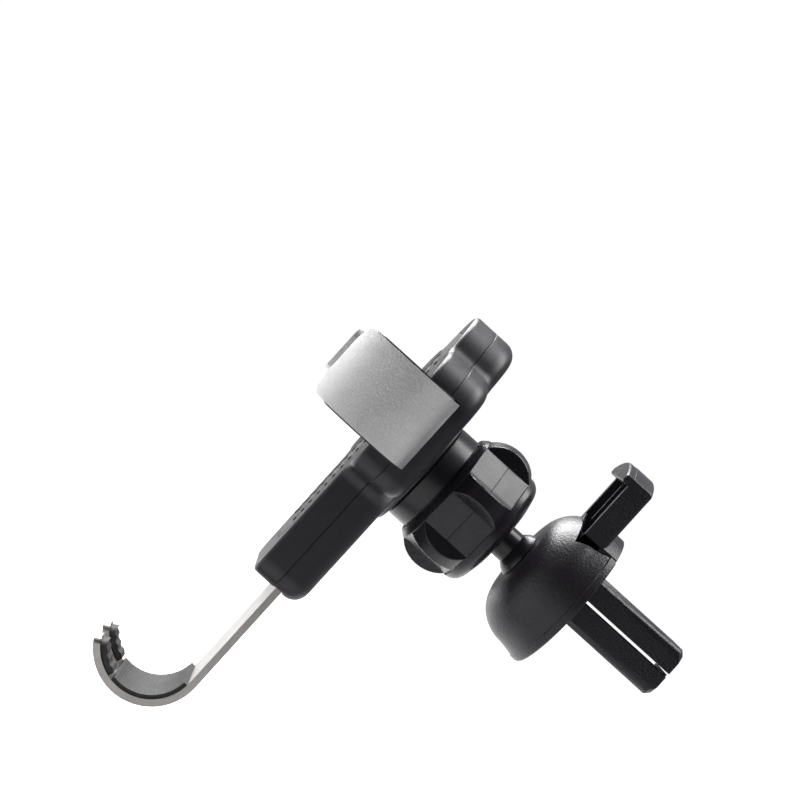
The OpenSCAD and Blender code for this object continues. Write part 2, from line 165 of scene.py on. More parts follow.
def prism(bm, points, place, way):
    """A closed prism on an outline, swept along way in millimetres. Gives its new parts."""
    base = add_face(bm, points, place)
    made = bmesh.ops.extrude_face_region(bm, geom=[base], use_keep_orig=True)
    moved = [g for g in made["geom"] if isinstance(g, bmesh.types.BMVert)]
    bmesh.ops.translate(bm, verts=moved, vec=Vector(way) * MM)
    verts = list(base.verts) + moved
    faces = list({f for v in verts for f in v.link_faces})
    bmesh.ops.recalc_face_normals(bm, faces=faces)
    return {"verts": verts, "faces": faces}


def soften(bm, edges, width, segments):
    """Rounds edges by a width in millimetres."""
    if edges:
        bmesh.ops.bevel(bm, geom=list(edges), offset=width * MM, offset_type="OFFSET",
                        affect="EDGES", segments=segments, profile=0.5, material=-1,
                        clamp_overlap=True)


def loft(bm, rings):
    """A closed body through rings of (outline, station), whose outlines match point by point."""
    loops = []
    for points, y in rings:
        verts = [bm.verts.new(Vector((a, y, b)) * MM) for a, b in points]
        loops.append([bm.edges.new(pair) for pair in zip(verts, verts[1:] + verts[:1])])
    for near, far in zip(loops, loops[1:]):
        bmesh.ops.bridge_loops(bm, edges=near + far)
    for end in (loops[0], loops[-1]):
        bmesh.ops.contextual_create(bm, geom=end)
    bmesh.ops.recalc_face_normals(bm, faces=bm.faces[:])


def edges_where(part, test):
    """The edges of a part whose two ends both pass a test in millimetres."""
    edges = {e for v in part["verts"] if v.is_valid for e in v.link_edges}
    return [e for e in edges if all(test(v.co / MM) for v in e.verts)]


def sharp_edges(part, degrees):
    """The edges of a part where its faces meet at more than an angle."""
    limit = math.radians(degrees)
    edges = {e for v in part["verts"] if v.is_valid for e in v.link_edges}
    return [e for e in edges if len(e.link_faces) == 2 and e.calc_face_angle() > limit]


def box_part(bm, x0, x1, y0, y1, z0, z1):
    """A closed block between two corners."""
    outline = [(x0, z0), (x1, z0), (x1, z1), (x0, z1)]
    return prism(bm, outline, lambda a, b: (a, y0, b), (0, y1 - y0, 0))


def lathe(bm, profile, steps=96, closed=False):
    """Turns a profile of (radius, station) about the ball's axis."""
    verts = [bm.verts.new(Vector((0, y, AXIS_Z + r)) * MM) for r, y in profile]
    edges = [bm.edges.new(pair) for pair in zip(verts, verts[1:])]
    if closed:
        edges.append(bm.edges.new((verts[-1], verts[0])))
    bmesh.ops.spin(bm, geom=verts + edges, cent=Vector((0, 0, AXIS_Z * MM)), axis=(0, 1, 0),
                   dvec=(0, 0, 0), angle=math.tau, steps=steps, use_merge=True,
                   use_duplicate=False)
    touched = set(verts)
    fresh = list(touched)
    while fresh:
        fresh = [w for v in fresh for e in v.link_edges for w in e.verts if w not in touched]
        touched.update(fresh)
    bmesh.ops.remove_doubles(bm, verts=list(touched), dist=0.0005 * MM)
    verts = [v for v in touched if v.is_valid]
    faces = list({f for v in verts for f in v.link_faces})
    bmesh.ops.recalc_face_normals(bm, faces=faces)
    return {"verts": verts}


def join(bm, other):
    """Moves everything of another bmesh into this one."""
    mesh = bpy.data.meshes.new("joined")
    other.to_mesh(mesh)
    other.free()
    bm.from_mesh(mesh)
    bpy.data.meshes.remove(mesh)


def finish_piece(bm, name, body, nodes, finish, smooth=35):
    """Makes the object of a piece, rides it on its body and gives it its finish."""
    bmesh.ops.dissolve_degenerate(bm, dist=0.0002 * MM, edges=bm.edges[:])
    for face in bm.faces:
        face.smooth = True
    limit = math.radians(smooth)
    for edge in bm.edges:
        edge.smooth = len(edge.link_faces) == 2 and edge.calc_face_angle() < limit
    mesh = bpy.data.meshes.new(name)
    bm.to_mesh(mesh)
    bm.free()
    piece = bpy.data.objects.new(name, mesh)
    bpy.context.scene.collection.objects.link(piece)
    piece.data.materials.append(FINISHES[finish])
    even = piece.modifiers.new("even_shading", "WEIGHTED_NORMAL")
    even.keep_sharp = True
    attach(piece, body)
    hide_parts(*nodes)
    return piece


def carve(piece, cutter_mesh, operation="DIFFERENCE"):
    """Cuts a closed mesh out of a piece, or adds it with UNION, and applies that."""
    cutter = bpy.data.objects.new("cutter", cutter_mesh)
    bpy.context.scene.collection.objects.link(cutter)
    cut = piece.modifiers.new("cut", "BOOLEAN")
    cut.operation = operation
    cut.use_self = True
    cut.solver = "EXACT"
    cut.object = cutter
    piece.modifiers.move(len(piece.modifiers) - 1, 0)
    even = piece.modifiers["even_shading"]
    even.show_viewport = False
    depsgraph = bpy.context.evaluated_depsgraph_get()
    result = bpy.data.meshes.new_from_object(piece.evaluated_get(depsgraph))
    piece.modifiers.remove(cut)
    even.show_viewport = True
    old = piece.data
    piece.data = result
    bpy.data.meshes.remove(old)
    bpy.data.objects.remove(cutter)


def cutter_from(make):
    """A mesh for cutting, made by a function that fills a bmesh."""
    bm = bmesh.new()
    make(bm)
    mesh = bpy.data.meshes.new("cutter")
    bm.to_mesh(mesh)
    bm.free()
    return mesh

def box_cutter(*corners):
    """A block for cutting, from x0, x1, y0, y1, z0 and z1."""
    return cutter_from(lambda bm: box_part(bm, *corners))


# ---------------------------------------------------------------- materials

def new_material(name):
    """An empty node material with its shader, and helpers to wire it."""
    material = bpy.data.materials.new(name)
    material.use_nodes = True
    nodes = material.node_tree.nodes
    shader = next(n for n in nodes if n.type == "BSDF_PRINCIPLED")
    coords = nodes.new("ShaderNodeTexCoord")
    return material, nodes, material.node_tree.links, shader, coords


def noise(nodes, links, coords, size_mm, detail=3.0, roughness=0.55):
    """Noise whose grains are about a size in millimetres."""
    texture = nodes.new("ShaderNodeTexNoise")
    texture.inputs["Scale"].default_value = 1 / (size_mm * MM)
    texture.inputs["Detail"].default_value = detail
    texture.inputs["Roughness"].default_value = roughness
    links.new(coords.outputs["Object"], texture.inputs["Vector"])
    return texture


def spread(nodes, links, source, low, high, from_low=0.3, from_high=0.7):
    """Maps a texture's value to a range."""
    span = nodes.new("ShaderNodeMapRange")
    span.inputs["From Min"].default_value = from_low
    span.inputs["From Max"].default_value = from_high
    span.inputs["To Min"].default_value = low
    span.inputs["To Max"].default_value = high
    links.new(source, span.inputs["Value"])
    return span.outputs["Result"]


def tint(nodes, links, source, dark, light):
    """A colour between two, by a texture's value."""
    mix = nodes.new("ShaderNodeMix")
    mix.data_type = "RGBA"
    mix.inputs["A"].default_value = (*dark, 1)
    mix.inputs["B"].default_value = (*light, 1)
    links.new(source, mix.inputs["Factor"])
    return mix.outputs["Result"]


def relief(nodes, links, source, shader, height_mm, strength):
    """Bumps a surface by a texture."""
    bump = nodes.new("ShaderNodeBump")
    bump.inputs["Distance"].default_value = height_mm * MM
    bump.inputs["Strength"].default_value = strength
    links.new(source, bump.inputs["Height"])
    links.new(bump.outputs["Normal"], shader.inputs["Normal"])


def plastic(name, colour, rough, grain_mm, grain_height, lighter=1.35):
    """Moulded plastic with a spark-eroded grain."""
    material, nodes, links, shader, coords = new_material(name)
    cloud = noise(nodes, links, coords, 6.0, 2.0)
    grain = noise(nodes, links, coords, grain_mm, 2.0, 0.6)
    pale = tuple(min(1, c * lighter) for c in colour)
    links.new(tint(nodes, links, spread(nodes, links, grain.outputs["Fac"], 0, 1), colour, pale),
              shader.inputs["Base Color"])
    links.new(spread(nodes, links, cloud.outputs["Fac"], rough - 0.05, rough + 0.05),
              shader.inputs["Roughness"])
    relief(nodes, links, grain.outputs["Fac"], shader, grain_height, 0.6)
    shader.inputs["Specular IOR Level"].default_value = 0.35
    return material


def blasted_metal(name, colour, rough, grain_mm, grain_height):
    """Bead-blasted, anodised aluminium."""
    material, nodes, links, shader, coords = new_material(name)
    grain = noise(nodes, links, coords, grain_mm, 2.0, 0.7)
    cloud = noise(nodes, links, coords, 5.0, 2.0)
    dark = tuple(c * 0.86 for c in colour)
    links.new(tint(nodes, links, spread(nodes, links, grain.outputs["Fac"], 0, 1), dark, colour),
              shader.inputs["Base Color"])
    links.new(spread(nodes, links, cloud.outputs["Fac"], rough - 0.03, rough + 0.05),
              shader.inputs["Roughness"])
    shader.inputs["Metallic"].default_value = 1.0
    relief(nodes, links, grain.outputs["Fac"], shader, grain_height, 0.5)
    return material


def soft_rubber(name, colour, rough=0.75):
    """Matte rubber with a dusty, fine skin."""
    material, nodes, links, shader, coords = new_material(name)
    grain = noise(nodes, links, coords, 0.25, 3.0, 0.6)
    cloud = noise(nodes, links, coords, 4.0, 3.0)
    pale = tuple(c * 1.7 for c in colour)
    links.new(tint(nodes, links, spread(nodes, links, cloud.outputs["Fac"], 0, 1), colour, pale),
              shader.inputs["Base Color"])
    links.new(spread(nodes, links, grain.outputs["Fac"], rough - 0.08, rough + 0.1),
              shader.inputs["Roughness"])
    relief(nodes, links, grain.outputs["Fac"], shader, 0.03, 0.5)
    return material


def drawn_steel(name, colour, rough):
    """Plated or drawn steel with faint streaks."""
    material, nodes, links, shader, coords = new_material(name)
    stretch = nodes.new("ShaderNodeMapping")
    stretch.inputs["Scale"].default_value = (1.0, 0.12, 1.0)
    links.new(coords.outputs["Object"], stretch.inputs["Vector"])
    streaks = noise(nodes, links, coords, 0.2, 3.0)
    links.new(stretch.outputs["Vector"], streaks.inputs["Vector"])
    links.new(spread(nodes, links, streaks.outputs["Fac"], rough - 0.1, rough + 0.12),
              shader.inputs["Roughness"])
    dark = tuple(c * 0.8 for c in colour)
    links.new(tint(nodes, links, streaks.outputs["Fac"], dark, colour), shader.inputs["Base Color"])
    shader.inputs["Metallic"].default_value = 1.0
    return material


FINISHES = {}


def make_finishes(looks):
    """Every material of the mount, by the record's slot."""
    FINISHES.update({
        "case_black": plastic("case_black", looks.case_colour, 0.42, 0.22, 0.03),
        "ring_black": plastic("ring_black", looks.ring_colour, 0.27, 0.3, 0.012),
        "clip_black": plastic("clip_black", looks.clip_colour, 0.36, 0.42, 0.16, 1.8),
        "stud_black": plastic("stud_black", looks.ring_colour, 0.3, 0.25, 0.008),
        "blasted_aluminium": blasted_metal("blasted_aluminium", looks.arm_colour, 0.42, 0.4, 0.09),
        "strip_aluminium": blasted_metal("strip_aluminium", looks.foot_colour, 0.38, 0.3, 0.03),
        "grip_rubber": soft_rubber("grip_rubber", looks.rubber_colour),
        "nylon": plastic("nylon", (0.62, 0.61, 0.57), 0.45, 0.4, 0.01, 1.1),
        "screw_steel": drawn_steel("screw_steel", (0.62, 0.62, 0.64), 0.32),
        "spring_steel": drawn_steel("spring_steel", (0.42, 0.42, 0.44), 0.3),
    })
    slots = {entry["node"]: entry["material_slot"] for entry in frame["record"]["subparts"]}
    for node, obj in frame["nodes"].items():
        obj.data.materials.clear()
        obj.data.materials.append(FINISHES[slots[node]])


# ---------------------------------------------------------------- settings

def colour(name, description, default):
    """A colour that the panel shows."""
    return bpy.props.FloatVectorProperty(name=name, description=description, default=default,
                                         subtype="COLOR", size=3, min=0.0, max=1.0)


def length(name, description, default):
    """A length in millimetres."""
    return bpy.props.FloatProperty(name=name, description=description, default=default,
                                   min=0.01, max=200.0, unit="NONE")


class MountLooks(bpy.types.PropertyGroup):
    """Colours of the mount's finishes"""
    case_colour: colour("Case", "Matte plastic of the cradle", (0.012, 0.0105, 0.014))
    ring_colour: colour("Ring", "Satin plastic of the ring and neck", (0.011, 0.0095, 0.013))
    clip_colour: colour("Clip", "Textured plastic of the clip", (0.011, 0.0095, 0.013))
    arm_colour: colour("Arms", "Anodised aluminium of the arms", (0.86, 0.86, 0.87))
    foot_colour: colour("Foot", "Anodised aluminium of the foot", (0.36, 0.345, 0.335))
    rubber_colour: colour("Rubber", "Linings and pads", (0.022, 0.021, 0.021))


class MountSizes(bpy.types.PropertyGroup):
    """Small shapes that the frame doesn't hold, in millimetres"""
    case_round: length("Back rounding", "Radius round the cradle's back edge", 3.2)
    front_round: length("Front rounding", "Radius round the cradle's front edge", 0.9)
    seam: length("Seam", "Bevel of the line between the shells", 0.14)
    plate_edge: length("Plate edge", "Rounding of the aluminium's edges", 0.22)
    arm_corner: length("Arm corner", "Corner radius of an arm's tip", 4.0)
    finger_corner: length("Finger corner", "Corner radius of a finger's tip", 1.3)
    wing_edge: length("Wing edge", "Rounding of the ring's wing crests", 0.35)
    jaw_edge: length("Jaw edge", "Bevel along the jaws", 1.1)
    grain_pitch: length("Pad pitch", "Distance between the pad's diamonds", 1.15)


def sizes():
    """The sizes set in the panel."""
    return bpy.context.scene.mount_sizes


# ---------------------------------------------------------------- cradle

def case_outline(inset=0.0):
    """Front view of the cradle, drawn in by an inset: sides and lower end, then the round top."""
    lobe = 11.0
    hollow = 3.2
    shoulder = cad("front_shell", HIGH, X) - inset
    lower = 15.0 - inset
    shoulder_top = AXIS_Z + 20
    shoulder_low = AXIS_Z - 8 + inset
    centre = CASE_TOP - lobe
    hollow_z = shoulder_top + hollow
    rise = hollow_z - centre
    hollow_x = math.sqrt((lobe + hollow) ** 2 - rise ** 2)
    lean = math.degrees(math.atan2(rise, hollow_x))
    points = rounded(mirrored([
        (hollow_x, shoulder_top - inset, 0), (shoulder, shoulder_top - inset, 9 - inset),
        (shoulder, shoulder_low, 4 - inset), (lower, shoulder_low, 3.0 + inset),
        (lower, CASE_BOTTOM + inset, 4 - inset)]), 10)
    points += arc(-hollow_x, hollow_z, hollow + inset, 270, 360 - lean, 8)[1:]
    points += arc(0, centre, lobe - inset, 180 - lean, lean, 28)[1:-1]
    points += arc(hollow_x, hollow_z, hollow + inset, 180 + lean, 270, 8)[:-1]
    return points


def cut_slots(piece):
    """Openings for the arms and the foot in a shell."""
    play = 0.3
    front = PLATE_BACK - PLATE_T - play
    back = PLATE_BACK + play
    side = cad("front_shell", HIGH, X)

    def slots(bm):
        for sign in (-1, 1):
            ends = sorted((sign * (side - 3), sign * (side + 2)))
            box_part(bm, ends[0], ends[1], front, back, ARM_LOW - play, ARM_HIGH + play)
        half = FOOT_HALF + play
        box_part(bm, -half, half, front, back, CASE_BOTTOM - 2, CASE_BOTTOM + 3)

    carve(piece, cutter_from(slots))


class MOUNT_OT_shells(bpy.types.Operator):
    """Front and rear shell of the cradle, with the round boss on its back"""
    bl_idname = "mount.shells"
    bl_label = "Cradle shells"

    def rings(self, outer, outer_round, seam, seam_round):
        """Outlines from a rounded outer face to the bevelled seam."""
        way = 1 if seam > outer else -1
        rings = arc(outer_round, outer + way * outer_round, -outer_round, -90, 0, 9,
                    way * outer_round)
        rings += [(0, seam - way * seam_round), (seam_round, seam)]
        return [(case_outline(inset), station) for inset, station in rings]

    def execute(self, context):
        size = sizes()
        back = cad("pinion_axle", HIGH, Y) + 0.4
        bm = bmesh.new()
        loft(bm, self.rings(CASE_FRONT, size.front_round, CASE_SPLIT, size.seam))
        front = finish_piece(bm, "front_case", "cradle", ["front_shell"], "case_black", 25)

        bm = bmesh.new()
        loft(bm, self.rings(back, size.case_round, CASE_SPLIT, size.seam))
        rear = finish_piece(bm, "rear_case", "cradle", ["rear_shell"], "case_black", 25)
        rim = NECK_FRONT - 0.3
        boss = [(0, back - 1), (14.2, back - 0.6), (14.2, back - 0.05)]
        boss += arc(13.9, back + 1.0, -1.2, -75, 0, 5, 1.0)
        boss += [(12.7, rim - 0.3), (12.62, rim - 0.12), (12.4, rim), (11.2, rim),
                 (11.0, rim - 0.5), (0, rim - 0.5)]
        wall = 1.5

        def cavity(bm):
            outline = case_outline(wall)
            loft(bm, [(outline, CASE_FRONT + wall), (outline, back - wall)])

        for shell in (front, rear):
            carve(shell, cutter_from(cavity))
            cut_slots(shell)
        carve(rear, cutter_from(lambda bm: lathe(bm, boss)), "UNION")

        def pad_bed(bm):
            prism(bm, pad_outline(0.12), lambda a, b: (a, CASE_FRONT - 1, b), (0, 1.5, 0))

        carve(front, cutter_from(pad_bed))
        return {"FINISHED"}


def pad_outline(grow=0.0):
    """Front view of the back pad, grown by a margin."""
    half = cad("back_pad", HIGH, X) + grow
    high = cad("back_pad", HIGH, Z) + grow
    low = cad("back_pad", LOW, Z) - grow
    return rounded([(half, high, 4), (half, low, 4), (-half, low, 4), (-half, high, 4)], 8)


class MOUNT_OT_back_pad(bpy.types.Operator):
    """Soft pad on the cradle's face, with slanted ribs that meet in the middle"""
    bl_idname = "mount.back_pad"
    bl_label = "Back pad"

    def execute(self, context):
        bm = bmesh.new()
        front = cad("back_pad", LOW, Y)
        back = cad("back_pad", HIGH, Y)
        part = prism(bm, pad_outline(), lambda a, b: (a, front, b), (0, back - front, 0))
        soften(bm, edges_where(part, lambda p: abs(p.y - front) < 0.01), 0.15, 2)
        half = cad("back_pad", HIGH, X) - 1.6
        low = cad("back_pad", LOW, Z) + 4.5
        high = cad("back_pad", HIGH, Z) - 2.5
        rise, pitch, width, gap, proud = 3.0, 2.2, 0.8, 0.35, 0.28
        for i in range(int((high - low - rise) / pitch)):
            z = low + pitch * i
            for sign in (-1, 1):
                near, far = gap * sign, half * sign
                outline = [(near, z + rise), (far, z), (far, z + width), (near, z + rise + width)]
                rib = prism(bm, outline, lambda a, b: (a, front - proud, b), (0, 0.5, 0))
                soften(bm, edges_where(rib, lambda p: p.y < front - 0.2), 0.12, 2)
        finish_piece(bm, "face_pad", "cradle", ["back_pad"], "grip_rubber")
        return {"FINISHED"}


# ---------------------------------------------------------------- arms and foot

def bent_sheet(bm, outline, stops, place):
    """A flat outline of (along, across), sliced at stops and bent by place(along, across)."""
    add_face(bm, outline, lambda a, b: (a, b, 0))
    for stop in stops:
        bmesh.ops.bisect_plane(bm, geom=bm.verts[:] + bm.edges[:] + bm.faces[:],
                               plane_co=(stop * MM, 0, 0), plane_no=(1, 0, 0), dist=1e-7)
    for v in bm.verts:
        v.co = Vector(place(v.co.x / MM, v.co.y / MM)) * MM
    bmesh.ops.recalc_face_normals(bm, faces=bm.faces[:])


def thick(bm, depth, outward):
    """Turns a sheet's faces as outward(point, normal) tells and thickens it the other way."""
    face = max(bm.faces, key=lambda f: f.calc_area())
    if not outward(face.calc_center_median() / MM, face.normal):
        bmesh.ops.reverse_faces(bm, faces=bm.faces[:])
    bmesh.ops.solidify(bm, geom=bm.faces[:], thickness=depth * MM)
    bmesh.ops.recalc_face_normals(bm, faces=bm.faces[:])


def dent(bm, axes, middle, radius, push):
    """Moves what lies inside a radius towards a middle, by push(spoke, point) in millimetres."""
    first, second = axes
    for v in bm.verts:
        spoke = Vector((v.co[first] / MM, v.co[second] / MM)) - middle
        if spoke.length < radius:
            place = middle + spoke.normalized() * (spoke.length - push(spoke, v.co / MM))
            v.co[first] = place.x * MM
            v.co[second] = place.y * MM

def rim_edges(bm, degrees=50):
    """All edges where the faces meet at more than an angle."""
    limit = math.radians(degrees)
    return [e for e in bm.edges if len(e.link_faces) == 2 and e.calc_face_angle() > limit]


def arm_place(side, middle_r):
    """Puts (along, across) on the arm's middle curve. Along is 0 where the curve starts."""
    def place(along, across):
        if along <= 0:
            return side * (ARM_CENTRE + along), CURVE_Y + middle_r, across
        a = along / middle_r
        x = ARM_CENTRE + middle_r * math.sin(a)
        return side * x, CURVE_Y + middle_r * math.cos(a), across
    return place


# How far the arms, the foot and the gap between its fingers bend, in degrees.
ARM_SWEEP = 168
FOOT_SWEEP = 150
FINGER_SWEEP = 100
FINGER_WIDTH = 7.5
LINING_MARGIN = 0.35


class MOUNT_OT_arms(bpy.types.Operator):
    """Left and right aluminium arm with its rubber lining"""
    bl_idname = "mount.arms"
    bl_label = "Arms"

    def arm(self, side, name, body, node):
        size = sizes()
        r = HOOK_R
        reach = math.radians(ARM_SWEEP) * r
        corner = size.arm_corner
        outline = rounded([(ARM_IN - ARM_CENTRE, ARM_LOW, 0), (reach, ARM_LOW, corner),
                           (reach, ARM_HIGH, corner), (ARM_IN - ARM_CENTRE, ARM_HIGH, 0)], 10)
        bm = bmesh.new()
        stops = [reach * i / 48 for i in range(48)]
        bent_sheet(bm, outline, stops, arm_place(side, r))
        self.shell(bm, side, PLATE_T)
        soften(bm, rim_edges(bm), size.plate_edge, 3)
        finish_piece(bm, name, body, [node], "blasted_aluminium")

    def shell(self, bm, side, depth):
        middle = Vector((side * ARM_CENTRE, CURVE_Y, 0))

        def outward(point, normal):
            return (Vector((point.x, point.y, 0)) - middle).dot(normal) > 0

        thick(bm, depth, outward)

    def lining(self, side, name, body, node):
        r = HOOK_R - PLATE_T
        start = math.radians(12) * r
        reach = math.radians(ARM_SWEEP - 12) * r
        low = ARM_LOW - 0.3
        high = ARM_HIGH + 0.3
        outline = rounded([(start, low, 1.0), (reach, low, 3.2), (reach, high, 3.2),
                           (start, high, 1.0)], 8)
        bm = bmesh.new()
        count = int((reach - start) / 0.32)
        stops = [start + (reach - start) * i / count for i in range(1, count)]
        bent_sheet(bm, outline, stops, arm_place(side, r))
        self.shell(bm, side, 0.85)
        soften(bm, rim_edges(bm, 60), 0.2, 2)

        def ribs(spoke, point):
            along = math.atan2(side * spoke.x, spoke.y) % math.tau * r
            return 0.15 * (1 - math.cos(math.tau * (along - start) / 1.6)) / 2

        dent(bm, (X, Y), Vector((side * ARM_CENTRE, CURVE_Y)), r - 0.5, ribs)
        finish_piece(bm, name, body, [node], "grip_rubber")

    def execute(self, context):
        for side, name in ((1, "right"), (-1, "left")):
            self.arm(side, name + "_arm_plate", "arm_" + name, name + "_arm")
            self.lining(side, name + "_arm_lining", "arm_" + name, name + "_arm_pad")
        return {"FINISHED"}


def foot_place(r):
    """Puts (along, across) on the foot's curve, along being 0 where it starts."""
    def place(along, across):
        if along <= 0:
            return across, CURVE_Y + r, FOOT_CENTRE_Z - along
        a = along / r
        return across, CURVE_Y + r * math.cos(a), FOOT_CENTRE_Z - r * math.sin(a)
    return place


def foot_shell(bm, depth):
    """Thickens a sheet of the foot towards the inside of its curve."""
    middle = Vector((0, CURVE_Y, FOOT_CENTRE_Z))

    def outward(point, normal):
        return (Vector((0, point.y, min(point.z, middle.z))) - middle).dot(normal) > 0

    thick(bm, depth, outward)


class MOUNT_OT_foot(bpy.types.Operator):
    """Foot strip with its hook, two fingers and rubber pads"""
    bl_idname = "mount.foot"
    bl_label = "Foot"

    def strip(self):
        size = sizes()
        r = HOOK_R
        tip = math.radians(FOOT_SWEEP) * r
        notch = math.radians(FINGER_SWEEP) * r
        inner = FOOT_HALF - FINGER_WIDTH
        top = FOOT_CENTRE_Z - FOOT_TOP
        corner = size.finger_corner
        right = [(top, FOOT_HALF, 0), (tip, FOOT_HALF, corner), (tip, inner, corner),
                 (notch, inner, 2.2)]
        corners = right + [(a, -b, c) for a, b, c in reversed(right)]
        bm = bmesh.new()
        stops = [tip * i / 44 for i in range(44)]
        bent_sheet(bm, rounded(corners, 8), stops, foot_place(r))
        foot_shell(bm, PLATE_T)
        soften(bm, rim_edges(bm), size.plate_edge, 3)
        finish_piece(bm, "foot_strip", "foot", ["foot_bracket"], "strip_aluminium")

    def finger_lining(self, side, name, node):
        r = HOOK_R - PLATE_T
        start = math.radians(FINGER_SWEEP + 5) * r
        tip = math.radians(FOOT_SWEEP - 3) * r
        inner = FOOT_HALF - FINGER_WIDTH + LINING_MARGIN
        outer = FOOT_HALF - LINING_MARGIN
        outline = rounded([(start, inner, 0.6), (tip, inner, 1.9), (tip, outer, 1.9),
                           (start, outer, 0.6)], 6)
        bm = bmesh.new()
        count = 40
        bent_sheet(bm, outline, [start + (tip - start) * i / count for i in range(1, count)],
                   lambda a, b: (side * b, *foot_place(r)(a, b)[1:]))
        foot_shell(bm, 1.0)
        soften(bm, rim_edges(bm, 60), 0.16, 2)
        waves = 3.5

        def ribs(spoke, point):
            along = math.atan2(-spoke.y, spoke.x) % math.tau * r
            part = (along - start) / (tip - start)
            return 0.28 * (1 - math.cos(math.tau * waves * part)) / 2 + 0.12

        dent(bm, (Y, Z), Vector((CURVE_Y, FOOT_CENTRE_Z)), r - 0.6, ribs)
        finish_piece(bm, name, "foot", [node], "grip_rubber")

    def hook_lining(self):
        size = sizes()
        r = HOOK_R - PLATE_T
        start = math.radians(5) * r
        end = math.radians(FINGER_SWEEP) * r
        half = FOOT_HALF - LINING_MARGIN
        pitch = size.grain_pitch
        columns = int(2 * half / pitch) * 6
        rows = int((end - start) / pitch) * 6
        bm = bmesh.new()
        bmesh.ops.create_grid(bm, x_segments=rows, y_segments=columns, size=0.5)
        for v in bm.verts:
            along = start + (v.co.x + 0.5) * (end - start)
            v.co = Vector(foot_place(r)(along, v.co.y * 2 * half)) * MM
        foot_shell(bm, 0.78)

        def diamonds(spoke, point):
            along = math.atan2(-spoke.y, spoke.x) * r
            u = (along + point.x) / pitch
            w = (along - point.x) / pitch
            peak = (1 - abs(2 * (u % 1) - 1)) * (1 - abs(2 * (w % 1) - 1))
            edge = max(0, min(half - abs(point.x), along - start, end - along, 0.6)) / 0.6
            return 0.22 * peak * edge

        dent(bm, (Y, Z), Vector((CURVE_Y, FOOT_CENTRE_Z)), r - 0.5, diamonds)
        finish_piece(bm, "hook_lining", "foot", ["hook_pad"], "grip_rubber", 70)

    def execute(self, context):
        self.strip()
        self.finger_lining(1, "right_finger_lining", "right_finger_pad")
        self.finger_lining(-1, "left_finger_lining", "left_finger_pad")
        self.hook_lining()
        return {"FINISHED"}


# ---------------------------------------------------------------- ball joint

class MOUNT_OT_neck(bpy.types.Operator):
    """Round neck between the cradle and the ring"""
    bl_idname = "mount.neck"
    bl_label = "Neck"

    def execute(self, context):
        bm = bmesh.new()
        y = NECK_FRONT
        inside = cad("ball_cup", HIGH, X) + 0.05
        profile = [(0, y), (NECK_R - 0.5, y), (NECK_R - 0.15, y + 0.1), (NECK_R, y + 0.4)]
        profile += [(NECK_R, RING_FRONT - 0.6), (NECK_R - 0.1, RING_FRONT - 0.2), (10.3, RING_FRONT - 0.1)]
        profile += [(10.3, BALL_Y - 0.3), (10.1, BALL_Y)]
        profile += [(inside * math.cos(math.radians(a)), BALL_Y - inside * math.sin(math.radians(a)))
                    for a in range(0, 91, 10)]
        lathe(bm, profile, 96)
        finish_piece(bm, "neck", "cradle", ["socket_neck"], "ring_black")
        return {"FINISHED"}


